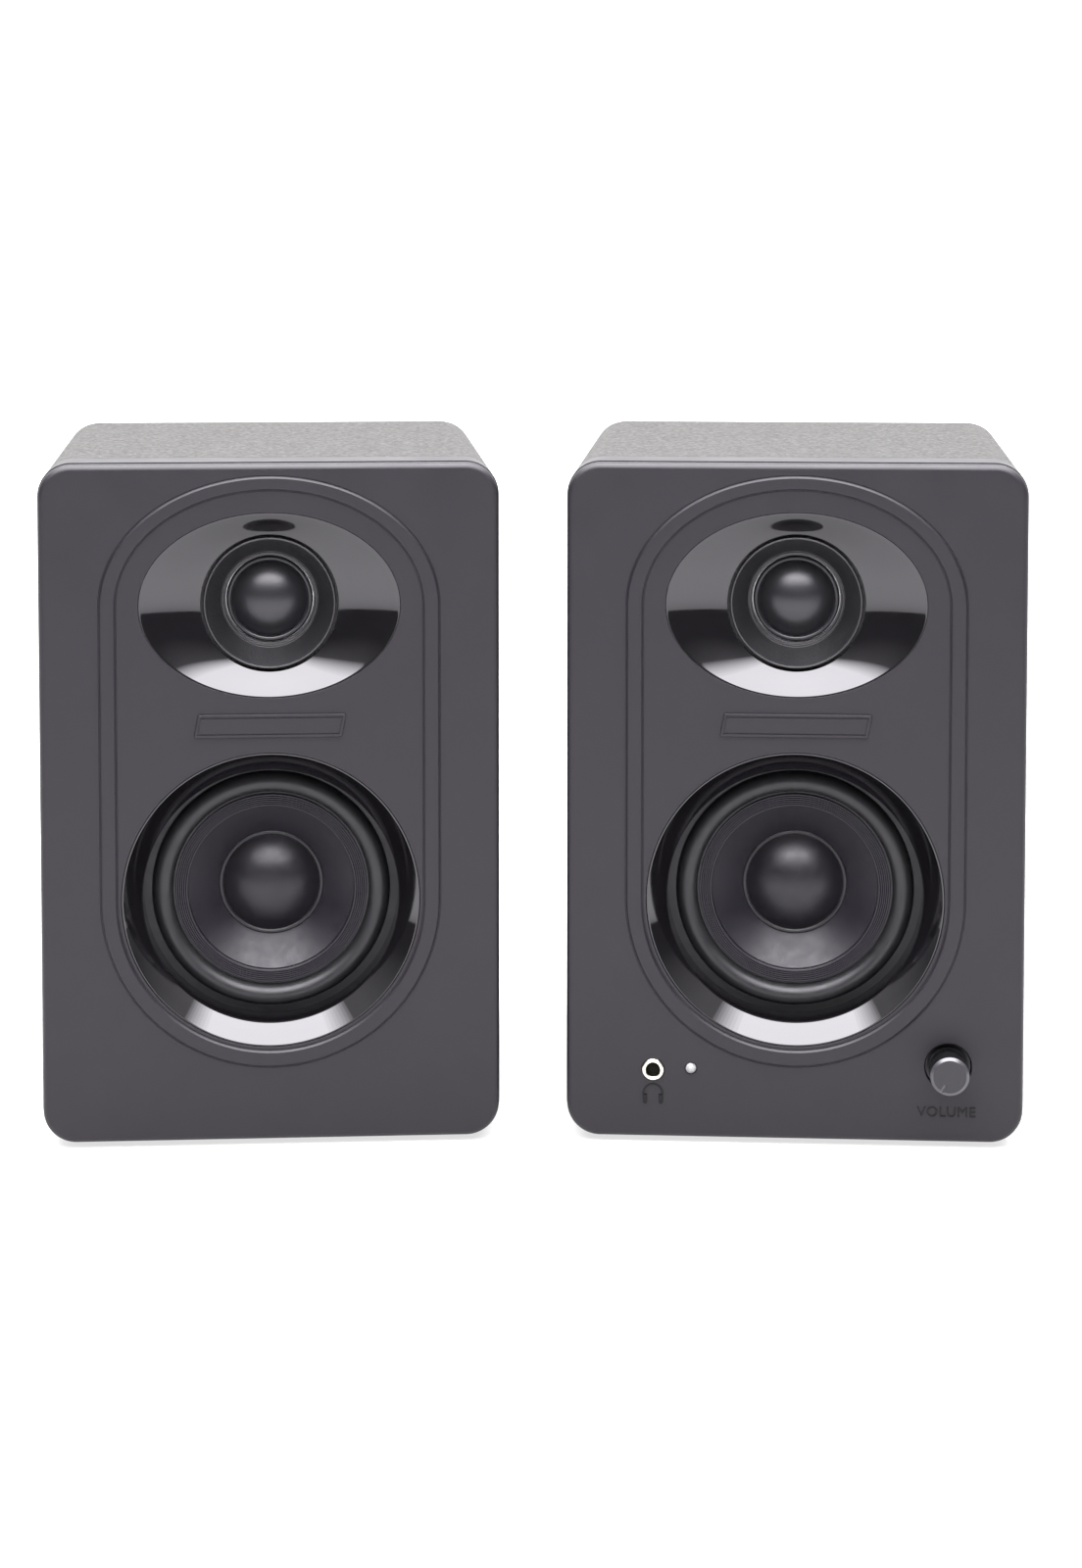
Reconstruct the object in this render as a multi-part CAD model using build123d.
"""A pair of powered desktop monitor speakers, modelled as they come apart on a bench.

The right speaker holds the amplifier, the controls and the mains inlet. The left one is passive.
Each speaker is drawn in its own frame: x to its right, y from its front face backwards, z up from
the tabletop, with x = 0 on its centre line. It is then placed beside the other, turned in towards
the listener. Sizes are in millimetres.
"""

import os

from build123d import *

# ---------------------------------------------------------------- driving dimensions
WIDTH = 134.0  # of one speaker
HEIGHT = 201.0  # from the tabletop to the top of the cabinet
DEPTH = 165.0  # from the front face to the rear panel's outer face
CENTRE_SPACING = 152.8  # between the centres of the two front faces
TOE_IN = 4.14  # degrees that each speaker is turned towards the listener
FOOT_HEIGHT = 1.5
CORNER_R = 10.0
GAP = 0.1  # left between parts that are glued or screwed face to face
PAST = 1.0  # how far a cut reaches beyond the face it opens

# ---------------------------------------------------------------- enclosure
BODY_H = HEIGHT - FOOT_HEIGHT
BODY_Z = FOOT_HEIGHT + BODY_H / 2
BAFFLE_WALL = 3.5
BAFFLE_SIDE = 3.0
BAFFLE_DEPTH = 20.0
BAFFLE_EDGE_R = 1.8
GROOVE_Y = 4.6  # shadow line around the baffle's side
GROOVE_W = 0.9
GROOVE_DEPTH = 0.7
LIP_INSET = 0.35  # how far the moulding ahead of the shadow line is drawn in
SLEEVE_WALL = 9.0
SPIGOT_WALL = 2.5
SPIGOT_CORNER_R = 2.0
SPIGOT_Y = 26.0
PANEL_T = 8.0
PANEL_INSET = 0.5
PANEL_EDGE = 0.6
PANEL_Y = DEPTH - PANEL_T
SLEEVE_Y0 = BAFFLE_DEPTH + GAP
SLEEVE_Y1 = PANEL_Y - GAP
SLEEVE_CORNER_IN = 3.0

# ---------------------------------------------------------------- front layout
TWEETER_Z = 159.5
WOOFER_Z = 72.9
RIM_A = 49.3  # raised rim: half width of its outer edge
RIM_TOP = 37.6  # rise of its outer edge above the tweeter's centre
RIM_BAND = 4.7
RIM_BAND_TOP = 4.0
RIM_PROUD = 0.6
RIM_EDGE_R = 0.4
JACK_X, JACK_Z = -41.3, 22.0
LED_X, LED_Z = -30.2, 22.55
KNOB_X, KNOB_Z = 44.85, 24.4
CONTROL_BOARD_Y, CONTROL_BOARD_Z = 16.0, 22.1
CONTROL_BOARD_W, CONTROL_BOARD_H = 104.0, 13.5
BOARD_T = 1.6
BOARD_CORNER_R = 1.0

# ---------------------------------------------------------------- tweeter
BOWL_A, BOWL_B = 38.0, 27.1  # the oval opening's half width and half height
BOWL_LIP = 0.4
BOWL_FRONT = 0.05
BOWL_DEPTH = 5.6
BOWL_THROAT_R = 20.2
BOWL_BACK = 9.0
BOWL_FLANGE_A, BOWL_FLANGE_B = 41.5, 30.1  # the flange glued behind the baffle
BOWL_FLANGE_BACK = 5.6
BOWL_BOSS_R = 27.0
BOWL_SCREW_Y = 4.4  # how far forwards the screw holes reach
FACE_R = 19.4
FACE_FRONT = 5.4
FACE_LIP = 0.8
FACE_FLANGE_R = 26.5
FACE_FLANGE_BACK = 11.1
FACE_HUB_R = 22.0
FACE_BACK = 17.5
FUNNEL_R = 13.95
FUNNEL_STEP, FACE_BORE_T = 1.7, 0.7  # heights of the funnel's foot and of its bore, above the back
FACE_BORE_R = 13.1
TWEETER_SCREW_R = 23.6
DOME_R = 11.3
DOME_RISE = 4.6
DOME_Y = 17.0
DOME_ROLL_R = 12.7
DOME_ROLL_LAP = 0.15  # how far the half-roll reaches in over the dome's edge
DOME_T = 0.35
TWEETER_COIL_R = 11.0
TWEETER_COIL_T = 0.6
TWEETER_COIL_START, TWEETER_COIL_END = 1.5, 4.5  # behind the dome's edge
TWEETER_PLATE_R = 19.0
TWEETER_PLATE_T = 2.6
TWEETER_PLATE_BORE_R = 12.0
TWEETER_MAGNET_R, TWEETER_MAGNET_T = 20.0, 6.0
TWEETER_MAGNET_BORE_R = 13.5
TWEETER_POLE_R = 10.4

# ---------------------------------------------------------------- woofer
TRIM_R = 43.4
TRIM_THROAT_R = 37.5
TRIM_DEPTH = 6.2
TRIM_END = 18.0
TRIM_WALL = 2.0
TRIM_SLOPE = 1.6  # how much thicker the trim ring's slope is than its lip
TRIM_LAP = 0.5  # how far its plate reaches in under the lip
TRIM_LIP = 0.3
TRIM_PLATE = 86.0
TRIM_PLATE_T = 1.8
TRIM_PLATE_CORNER_R = 8.0
TRIM_FRONT = 0.4
TRIM_POST_R = 3.8
TRIM_HOLE_Y = 10.5  # how far forwards the screw holes in the posts reach
SURROUND_OUT_R = 42.0
ROLL_OUT_R = 35.2
ROLL_IN_R = 28.9
LIP_IN_R = 26.0
ROLL_RISE = 3.3
RUBBER_T = 0.7
FRAME_Y = 19.0
FRAME_T = 1.4
FRAME_SQUARE = 78.0
FRAME_CORNER_R = 12.0
FRAME_BORE_R = 34.2
WOOFER_SCREW = 33.5
CONE_RIM_R = 28.3
CONE_STEP_R = 24.5
CONE_RIM_Y = 17.1
CONE_RIM_T = 0.7
CONE_SLOPE_Y = 19.7  # where the slope starts, behind the rim
CONE_SLOPE_T = 0.6
CONE_NECK_Y = 31.0
CONE_NECK_T = 1.2
COIL_R = 10.3  # outside of the voice coil's former
FORMER_T = 0.25
WINDING_T = 0.55
WINDING_Y, COIL_END = 40.5, 46.5
CAP_R = 14.4
CAP_RISE = 6.2
CAP_Y = 26.4
CAP_LIP_R = 15.7
CAP_LIP_T = 0.4
CAP_T = 0.5
LEDGE_Y = 35.0
LEDGE_IN_R, LEDGE_OUT_R, LEDGE_BACK_R = 25.5, 29.9, 29.4
LEDGE_T = 1.2
BASKET_END = 41.4
BASKET_SHEET = 1.4
BASKET_FOOT_R = 28.4
BASKET_BORE_R = 12.0
WINDOW_W = 26.0
WINDOW_Y0, WINDOW_Y1 = 22.5, 32.5
WINDOW_HUB_R = 20.0
SPIDER_T = 0.45
SPIDER_WAVES = 4
SPIDER_WAVE_DEPTH = 0.9
SPIDER_START_R, SPIDER_END_R = 12.2, 25.4  # where the corrugations start and end
SPIDER_R = 28.6
MAGNET_R = 32.5
MAGNET_BORE_R = 14.0
MAGNET_EDGE = 0.8
PLATE_R = 29.0
POLE_R = 9.7
POLE_GAP = 0.95  # between the voice coil's former and the top plate
YOKE_EDGE = 1.0
MOTOR_PLATE_T = 4.0
MAGNET_T = 10.0

# ---------------------------------------------------------------- back layout
PORT_Z = 158.0
PORT_R = 14.0
PORT_WALL = 1.8
PORT_FLANGE_R = 21.0
PORT_COLLAR_R = 19.5
PORT_FLARE_R = 5.0
PORT_FRONT = 88.0
PORT_REAR = DEPTH + 1.5
PLATE_W, PLATE_H = 106.0, 112.0
PLATE_Z = 70.0
PLATE_T = 2.0
PLATE_OVERLAP = 6.0
OPENING_CORNER_R = 2.0
PLATE_CORNER_R = 3.0
PLATE_EDGE = 0.4
PLATE_OUT = DEPTH + PLATE_T  # outer face of the amplifier plate
LEFT_CUP_Z = 70.0
RIGHT_CUP_X, RIGHT_CUP_Z = 22.0, 76.0
RCA_X = (38.0, 22.0)
AUX_X = 4.0
BASS_X = -28.0
INPUT_Z = 110.0
INLET_X, INLET_Z = 24.0, 34.0
ROCKER_X, ROCKER_Z = -28.0, 34.0
AMP_BOARD_Y, AMP_BOARD_Z = 150.0, 96.0
AMP_BOARD_W, AMP_BOARD_H = 88.0, 54.0


# ---------------------------------------------------------------- helpers
SIDE_VIEW = Plane(origin=(0, 0, 0), x_dir=(0, 1, 0), z_dir=(1, 0, 0))  # sketch x is depth, sketch y is up


def front(y):
    """A sketch plane at depth y that faces the listener, with sketch y pointing up."""
    return Plane(origin=(0, y, 0), x_dir=(1, 0, 0), z_dir=(0, -1, 0))


def slab(outline, y_front, y_back):
    """An outline drawn as seen from the front, extruded from y_front back to y_back."""
    return extrude(front(y_front) * outline, amount=y_front - y_back)


def front_edges(shape):
    """The edges of the face nearest the listener."""
    return shape.faces().sort_by(Axis.Y)[0].edges()


def back_edges(shape):
    """The edges of the face furthest from the listener."""
    return shape.faces().sort_by(Axis.Y)[-1].edges()


def turned(points, x=0.0, z=0.0):
    """A solid turned about a front-to-back axis at (x, z), from (radius, y) corners."""
    return Pos(x, 0, z) * revolve(Polygon(*points, align=None), Axis.Y, 360)


def turned_face(lines, x=0.0, z=0.0):
    """The same from a closed set of lines and arcs."""
    return Pos(x, 0, z) * revolve(make_face(lines), Axis.Y, 360)


def post(radius, y_front, y_back, x=0.0, z=0.0):
    """A round bar along y."""
    return slab(Pos(x, z) * Circle(radius), y_front, y_back)


def crosswise(radius, length):
    """A round bar along x."""
    return Rot(0, 90, 0) * Cylinder(radius, length)


def block(size_x, size_z, y_front, y_back, x=0.0, z=0.0, corner=0.0):
    """A rectangular bar along y, with rounded corners if corner isn't 0."""
    if corner:
        shape = RectangleRounded(size_x, size_z, corner)
    else:
        shape = Rectangle(size_x, size_z)
    return slab(Pos(x, z) * shape, y_front, y_back)


def body_outline(inset=0.0, corner=None):
    """The front view of the enclosure, drawn in by inset."""
    corner = CORNER_R - inset if corner is None else corner
    return Pos(0, BODY_Z) * RectangleRounded(WIDTH - 2 * inset, BODY_H - 2 * inset, corner)


def racetrack(half_width, top_rise):
    """The outline around both drivers: round below the woofer, a half oval over the tweeter."""
    middle = (TWEETER_Z + WOOFER_Z) / 2
    return (
        Pos(0, TWEETER_Z) * Ellipse(half_width, top_rise)
        + Pos(0, middle) * Rectangle(2 * half_width, TWEETER_Z - WOOFER_Z)
        + Pos(0, WOOFER_Z) * Circle(half_width)
    )


def ring(outer_r, inner_r, y_front, y_back, x=0.0, z=0.0):
    """A flat ring along y."""
    return slab(Pos(x, z) * (Circle(outer_r) - Circle(inner_r)), y_front, y_back)


def dome_shell(radius, rise, base_y, thickness):
    """The section of a thin spherical cap whose crown points forwards, as (radius, y) lines."""
    sphere_r = (radius**2 + rise**2) / (2 * rise)
    centre_y = base_y - rise + sphere_r
    inner_r = sphere_r - thickness
    inner_base = (inner_r**2 - (centre_y - base_y) ** 2) ** 0.5
    crown, crown_in = centre_y - sphere_r, centre_y - inner_r
    half = 0.5 * radius
    outer_mid = (half, centre_y - (sphere_r**2 - half**2) ** 0.5)
    inner_mid = (half, centre_y - (inner_r**2 - half**2) ** 0.5)
    return [
        ThreePointArc((0, crown), outer_mid, (radius, base_y)),
        Line((radius, base_y), (inner_base, base_y)),
        ThreePointArc((inner_base, base_y), inner_mid, (0, crown_in)),
        Line((0, crown_in), (0, crown)),
    ]


# ---------------------------------------------------------------- enclosure
def make_baffle(with_controls):
    """The moulded front: a tray with a raised rim round the drivers and a spigot into the sleeve."""
    body = slab(body_outline(LIP_INSET), 0, GROOVE_Y)
    body = fillet(front_edges(body), BAFFLE_EDGE_R)
    body += slab(body_outline(GROOVE_DEPTH), GROOVE_Y, GROOVE_Y + GROOVE_W)
    body += slab(body_outline(), GROOVE_Y + GROOVE_W, BAFFLE_DEPTH)
    body -= slab(body_outline(BAFFLE_SIDE), BAFFLE_WALL, BAFFLE_DEPTH)

    spigot_out = body_outline(SLEEVE_WALL + 2 * GAP, SLEEVE_CORNER_IN)
    spigot_in = body_outline(SLEEVE_WALL + SPIGOT_WALL, SPIGOT_CORNER_R)
    body += slab(spigot_out - spigot_in, BAFFLE_WALL, SPIGOT_Y)

    rim = slab(
        racetrack(RIM_A, RIM_TOP) - racetrack(RIM_A - RIM_BAND, RIM_TOP - RIM_BAND_TOP),
        -RIM_PROUD,
        0,
    )
    body += fillet(front_edges(rim), RIM_EDGE_R)

    body -= slab(Pos(0, TWEETER_Z) * Ellipse(BOWL_A, BOWL_B), -PAST, BAFFLE_WALL)
    body -= post(TRIM_R + GAP, -PAST, BAFFLE_WALL, 0, WOOFER_Z)
    if with_controls:
        body -= post(JACK_NOSE_R + GAP, -PAST, BAFFLE_WALL, JACK_X, JACK_Z)
        body -= post(LENS_R + GAP, -PAST, BAFFLE_WALL, LED_X, LED_Z)
        body -= post(KNOB_RECESS_R, -PAST, KNOB_RECESS, KNOB_X, KNOB_Z)
        body -= post(BUSHING_R + GAP, -PAST, BAFFLE_WALL, KNOB_X, KNOB_Z)
    return body


PANEL_SCREW_R = 1.6
PANEL_SCREW_HEAD_R = 3.1
PANEL_SCREW_TIP = 144.0
PANEL_SCREW_POINT = 2.0
PANEL_SCREW_SINK = 2.2  # depth of the countersink
PANEL_SCREW_RIM = 0.4  # height of the head's straight edge
PANEL_SCREW_SIDE_Z = (30.0, BODY_Z, 171.0)
PANEL_SCREW_END_X = 36.0


def panel_screw_places():
    """(x, z) of the ten screws that hold the rear panel to the ends of the sleeve's walls."""
    side_x = WIDTH / 2 - SLEEVE_WALL / 2
    low, high = FOOT_HEIGHT + SLEEVE_WALL / 2, HEIGHT - SLEEVE_WALL / 2
    sides = [(s * side_x, z) for s in (-1, 1) for z in PANEL_SCREW_SIDE_Z]
    ends = [(s * PANEL_SCREW_END_X, z) for s in (-1, 1) for z in (low, high)]
    return sides + ends


def make_sleeve():
    """The four-sided wooden sleeve between the baffle and the rear panel."""
    wall = body_outline() - body_outline(SLEEVE_WALL, SLEEVE_CORNER_IN)
    body = slab(wall, SLEEVE_Y0, SLEEVE_Y1)
    for x, z in panel_screw_places():
        body -= post(PANEL_SCREW_R + GAP / 2, PANEL_SCREW_TIP - PAST, SLEEVE_Y1, x, z)
    return body


def make_rear_panel(opening):
    """The wooden rear panel, with the port's hole and the given opening cut through."""
    body = slab(body_outline(PANEL_INSET), PANEL_Y, DEPTH)
    body = chamfer(back_edges(body), PANEL_EDGE)
    body -= post(PORT_COLLAR_R + GAP, PANEL_Y, DEPTH, 0, PORT_Z)
    body -= slab(opening, PANEL_Y, DEPTH)
    for x, z in panel_screw_places():
        body -= panel_screw(x, z, GAP / 2)
    return body


def panel_screw(x, z, extra=0.0):
    """A countersunk wood screw whose head is flush with the rear panel; extra widens it to cut its hole."""
    shank, head = PANEL_SCREW_R + extra, PANEL_SCREW_HEAD_R + extra
    return turned(
        [(0, PANEL_SCREW_TIP), (shank, PANEL_SCREW_TIP + PANEL_SCREW_POINT)]
        + [(shank, DEPTH - PANEL_SCREW_SINK), (head, DEPTH - PANEL_SCREW_RIM), (head, DEPTH), (0, DEPTH)],
        x,
        z,
    )


def make_port():
    """The bass port: a straight tube with a flared mouth in the rear panel."""
    body = ring(PORT_R + PORT_WALL, PORT_R, PORT_FRONT, PANEL_Y, 0, PORT_Z)
    body += ring(PORT_COLLAR_R, PORT_R, PANEL_Y, DEPTH + GAP, 0, PORT_Z)
    body += ring(PORT_FLANGE_R, PORT_R, DEPTH + GAP, PORT_REAR, 0, PORT_Z)
    mouth = body.edges().filter_by(GeomType.CIRCLE).filter_by(
        lambda e: abs(e.radius - PORT_R) < 0.01 and abs(e.center().Y - PORT_REAR) < 0.01
    )
    return fillet(mouth, PORT_FLARE_R)


FOOT_R = 6.0
FOOT_EDGE_R = 0.4
FOOT_X, FOOT_Y0, FOOT_Y1 = 50.0, 30.0, 142.0


def make_feet():
    """Four stick-on rubber feet under the sleeve."""
    feet = []
    for x in (-FOOT_X, FOOT_X):
        for y in (FOOT_Y0, FOOT_Y1):
            foot = Pos(x, y, FOOT_HEIGHT / 2) * Cylinder(FOOT_R, FOOT_HEIGHT)
            feet.append(fillet(foot.faces().sort_by(Axis.Z)[0].edges(), FOOT_EDGE_R))
    return feet


WADDING_W, WADDING_H = 92.0, 44.0
WADDING_Y0, WADDING_Y1 = 40.0, 80.0
WADDING_Z = 158.0
WADDING_EDGE_R = 8.0


def make_wadding():
    """The pad of damping wadding behind the tweeter, above the woofer's magnet."""
    pad = block(WADDING_W, WADDING_H, WADDING_Y0, WADDING_Y1, 0, WADDING_Z)
    return [fillet(pad.edges(), WADDING_EDGE_R)]


# ---------------------------------------------------------------- tweeter
def make_waveguide():
    """The gloss oval bowl round the tweeter, with its fixing flange behind the baffle."""
    body = slab(Ellipse(BOWL_A - GAP, BOWL_B - GAP), BOWL_FRONT, BAFFLE_WALL + GAP)
    body += slab(Ellipse(BOWL_FLANGE_A, BOWL_FLANGE_B), BAFFLE_WALL + GAP, BOWL_FLANGE_BACK)
    body += post(BOWL_BOSS_R, BOWL_FLANGE_BACK, BOWL_BACK)
    mouth = front(BOWL_FRONT) * Ellipse(BOWL_A - BOWL_LIP, BOWL_B - BOWL_LIP)
    throat = front(BOWL_DEPTH) * Circle(BOWL_THROAT_R)
    body -= loft([mouth, throat])
    body -= post(BOWL_THROAT_R, BOWL_DEPTH - PAST / 2, BOWL_BACK)
    for s in (-1, 1):
        body -= post(SCREW_R + GAP / 2, BOWL_SCREW_Y, BOWL_BACK, 0, s * TWEETER_SCREW_R)
    return Pos(0, 0, TWEETER_Z) * body


def make_faceplate():
    """The tweeter's front plate: a matt funnel down to the dome."""
    body = turned(
        [(FACE_R - FACE_LIP, FACE_FRONT), (FACE_R, FACE_FRONT), (FACE_R, BOWL_BACK + GAP)]
        + [(FACE_FLANGE_R, BOWL_BACK + GAP), (FACE_FLANGE_R, FACE_FLANGE_BACK)]
        + [(FACE_HUB_R, FACE_FLANGE_BACK), (FACE_HUB_R, FACE_BACK), (FACE_BORE_R, FACE_BACK)]
        + [(FACE_BORE_R, FACE_BACK - FACE_BORE_T), (FUNNEL_R, FACE_BACK - FUNNEL_STEP)]
    )
    for s in (-1, 1):
        body -= post(SCREW_R + SCREW_PLAY, BOWL_BACK, FACE_BACK, 0, s * TWEETER_SCREW_R)
        body -= post(SCREW_HEAD_R + SCREW_PLAY, FACE_FLANGE_BACK, FACE_BACK, 0, s * TWEETER_SCREW_R)
    return Pos(0, 0, TWEETER_Z) * body


def make_tweeter_dome():
    """The soft dome with its half-roll edge and the voice coil's former, which move together."""
    dome = revolve(make_face(dome_shell(DOME_R, DOME_RISE, DOME_Y, DOME_T)), Axis.Y, 360)
    roll_r = (DOME_ROLL_R - DOME_R) / 2 + DOME_ROLL_LAP
    behind = Pos(0, roll_r) * Rectangle(2 * roll_r, 2 * roll_r)
    roll = Pos(DOME_ROLL_R - roll_r, DOME_Y) * (Circle(roll_r) - behind)
    roll = revolve(roll, Axis.Y, 360)
    start, end = DOME_Y + TWEETER_COIL_START, DOME_Y + TWEETER_COIL_END
    skirt = ring(DOME_R, TWEETER_COIL_R - GAP, DOME_Y - DOME_T, end)
    coil = ring(TWEETER_COIL_R + TWEETER_COIL_T, DOME_R, start, end)
    return Pos(0, 0, TWEETER_Z) * (dome + roll + skirt + coil)


def make_tweeter_motor():
    """The tweeter's top plate, magnet and pole piece, as three separate solids."""
    plate_front = FACE_BACK + GAP
    plate_back = plate_front + TWEETER_PLATE_T
    magnet_back = plate_back + GAP + TWEETER_MAGNET_T
    yoke_back = magnet_back + GAP + TWEETER_PLATE_T
    top_plate = ring(TWEETER_PLATE_R, TWEETER_PLATE_BORE_R, plate_front, plate_back)
    magnet = ring(TWEETER_MAGNET_R, TWEETER_MAGNET_BORE_R, plate_back + GAP, magnet_back)
    yoke = post(TWEETER_PLATE_R, magnet_back + GAP, yoke_back)
    yoke += post(TWEETER_POLE_R, plate_front, magnet_back + GAP)
    return [Pos(0, 0, TWEETER_Z) * s for s in (top_plate, magnet, yoke)]


# ---------------------------------------------------------------- screws shared by the drivers
SCREW_R = 1.4
SCREW_HEAD_R = 2.8
SCREW_HEAD_H = 1.9
SCREW_HEAD_EDGE_R = 0.8
SCREW_PLAY = 0.3  # round a screw or its head in a part that it only passes through
CROSS_L, CROSS_W, CROSS_DEPTH = 3.6, 0.8, 0.9
WOOFER_SCREW_L, TWEETER_SCREW_L, PLATE_SCREW_L = 9.0, 6.4, 9.0


def pan_screw(x, z, seat_y, length, into=-1):
    """A pan-head screw along y whose head sits on seat_y; into is the way its point goes."""
    tip = seat_y + into * length
    top = seat_y - into * SCREW_HEAD_H
    low, high = sorted((seat_y, tip))
    head_low, head_high = sorted((seat_y, top))
    head = post(SCREW_HEAD_R, head_low, head_high, x, z)
    outer = head.faces().sort_by(Axis.Y)[0 if into > 0 else -1]
    head = fillet(outer.edges(), SCREW_HEAD_EDGE_R)
    cross_low, cross_high = sorted((top, top + into * CROSS_DEPTH))
    for width, height in ((CROSS_L, CROSS_W), (CROSS_W, CROSS_L)):
        head -= block(width, height, cross_low, cross_high, x, z)
    return head + post(SCREW_R, low, high, x, z)


def corner_places(distance):
    """The four corners of a square of that half side."""
    return [(sx * distance, sz * distance) for sx in (-1, 1) for sz in (-1, 1)]


def make_driver_screws():
    """Four screws behind the woofer's frame and two behind the tweeter's plate."""
    seat = FRAME_Y + FRAME_T + GAP
    screws = [pan_screw(x, WOOFER_Z + z, seat, WOOFER_SCREW_L) for x, z in corner_places(WOOFER_SCREW)]
    seat = FACE_FLANGE_BACK + GAP
    for s in (-1, 1):
        screws.append(pan_screw(0, TWEETER_Z + s * TWEETER_SCREW_R, seat, TWEETER_SCREW_L))
    return screws


# ---------------------------------------------------------------- woofer
def make_trim_ring():
    """The gloss ring round the woofer, its throat, and the plate and posts that carry the woofer."""
    plate_y, back_r = BAFFLE_WALL + GAP, TRIM_THROAT_R + TRIM_WALL
    plate_back = plate_y + TRIM_PLATE_T
    cone = turned(
        [(TRIM_R - TRIM_LIP, TRIM_FRONT), (TRIM_R, TRIM_FRONT), (TRIM_R, plate_back)]
        + [(back_r, TRIM_DEPTH + TRIM_SLOPE), (back_r, TRIM_END)]
        + [(TRIM_THROAT_R, TRIM_END), (TRIM_THROAT_R, TRIM_DEPTH)]
    )
    plate = block(TRIM_PLATE, TRIM_PLATE, plate_y, plate_back, corner=TRIM_PLATE_CORNER_R)
    body = cone + (plate - post(TRIM_R - TRIM_LAP, plate_y, plate_back))
    for x, z in corner_places(WOOFER_SCREW):
        body += post(TRIM_POST_R, plate_back, FRAME_Y - GAP, x, z)
        body -= post(SCREW_R + GAP / 2, TRIM_HOLE_Y, FRAME_Y, x, z)
    return Pos(0, 0, WOOFER_Z) * body


def make_surround():
    """The rubber surround: a flange, a half roll and the lip that is glued on the cone."""
    y0 = TRIM_END + GAP
    mid, big = (ROLL_OUT_R + ROLL_IN_R) / 2, (ROLL_OUT_R - ROLL_IN_R) / 2
    small = big - RUBBER_T
    outer_arc = EllipticalCenterArc((mid, y0), big, ROLL_RISE, start_angle=180, arc_size=180)
    inner_arc = EllipticalCenterArc(
        (mid, y0 + RUBBER_T), small, ROLL_RISE, start_angle=180, arc_size=180
    )
    y1 = y0 + RUBBER_T
    lines = [
        outer_arc,
        Line((ROLL_OUT_R, y0), (SURROUND_OUT_R, y0)),
        Line((SURROUND_OUT_R, y0), (SURROUND_OUT_R, y1)),
        Line((SURROUND_OUT_R, y1), (mid + small, y1)),
        inner_arc,
        Line((mid - small, y1), (LIP_IN_R, y1)),
        Line((LIP_IN_R, y1), (LIP_IN_R, y0)),
        Line((LIP_IN_R, y0), (ROLL_IN_R, y0)),
    ]
    return turned_face(lines, 0, WOOFER_Z)


def make_basket():
    """The pressed steel frame, with four windows and the ledge that the spider is glued on."""
    frame_back, floor = FRAME_Y + FRAME_T, BASKET_END - BASKET_SHEET
    body = block(FRAME_SQUARE, FRAME_SQUARE, FRAME_Y, frame_back, corner=FRAME_CORNER_R)
    body -= post(FRAME_BORE_R, FRAME_Y, frame_back)
    wall_r, foot_r = FRAME_BORE_R + BASKET_SHEET, BASKET_FOOT_R - BASKET_SHEET
    body += turned(
        [(FRAME_BORE_R, FRAME_Y), (wall_r + BASKET_SHEET, FRAME_Y), (wall_r + BASKET_SHEET, frame_back)]
        + [(BASKET_FOOT_R, floor), (BASKET_FOOT_R, BASKET_END), (BASKET_BORE_R, BASKET_END)]
        + [(BASKET_BORE_R, floor), (foot_r, floor), (wall_r, frame_back), (FRAME_BORE_R, frame_back)]
    )
    body += turned(
        [(LEDGE_IN_R, LEDGE_Y), (LEDGE_OUT_R, LEDGE_Y), (LEDGE_BACK_R, LEDGE_Y + LEDGE_T)]
        + [(LEDGE_IN_R, LEDGE_Y + LEDGE_T)]
    )
    across = FRAME_SQUARE + 2 * PAST
    windows = Rectangle(WINDOW_W, across) + Rectangle(across, WINDOW_W)
    body -= slab(windows - Circle(WINDOW_HUB_R), WINDOW_Y0, WINDOW_Y1)
    for x, z in corner_places(WOOFER_SCREW):
        body -= post(SCREW_R + SCREW_PLAY, FRAME_Y, frame_back, x, z)
    return Pos(0, 0, WOOFER_Z) * body


def make_cone():
    """The moulded cone: a flat rim over the surround's lip, a step, and the slope to the former."""
    back_r = CONE_STEP_R + CONE_RIM_T
    return turned(
        [(CONE_RIM_R, CONE_RIM_Y), (CONE_STEP_R, CONE_RIM_Y), (CONE_STEP_R, CONE_SLOPE_Y)]
        + [(COIL_R, CONE_NECK_Y), (COIL_R, CONE_NECK_Y + CONE_NECK_T), (back_r, CONE_SLOPE_Y + CONE_SLOPE_T)]
        + [(back_r, CONE_RIM_Y + CONE_RIM_T), (CONE_RIM_R, CONE_RIM_Y + CONE_RIM_T)],
        0,
        WOOFER_Z,
    )


def make_dust_cap():
    """The domed dust cap with the flat lip that is glued on the cone."""
    cap = revolve(make_face(dome_shell(CAP_R, CAP_RISE, CAP_Y, CAP_T)), Axis.Y, 360)
    lip = ring(CAP_LIP_R, CAP_R - CAP_T, CAP_Y - CAP_LIP_T, CAP_Y)
    return Pos(0, 0, WOOFER_Z) * (cap + lip)


def make_voice_coil():
    """The former and its winding, which hang in the magnet's gap."""
    former = ring(COIL_R, COIL_R - FORMER_T, CONE_NECK_Y - CAP_LIP_T, COIL_END)
    winding = ring(COIL_R + WINDING_T, COIL_R - FORMER_T / 2, WINDING_Y, COIL_END)
    return Pos(0, 0, WOOFER_Z) * (former + winding)


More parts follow.
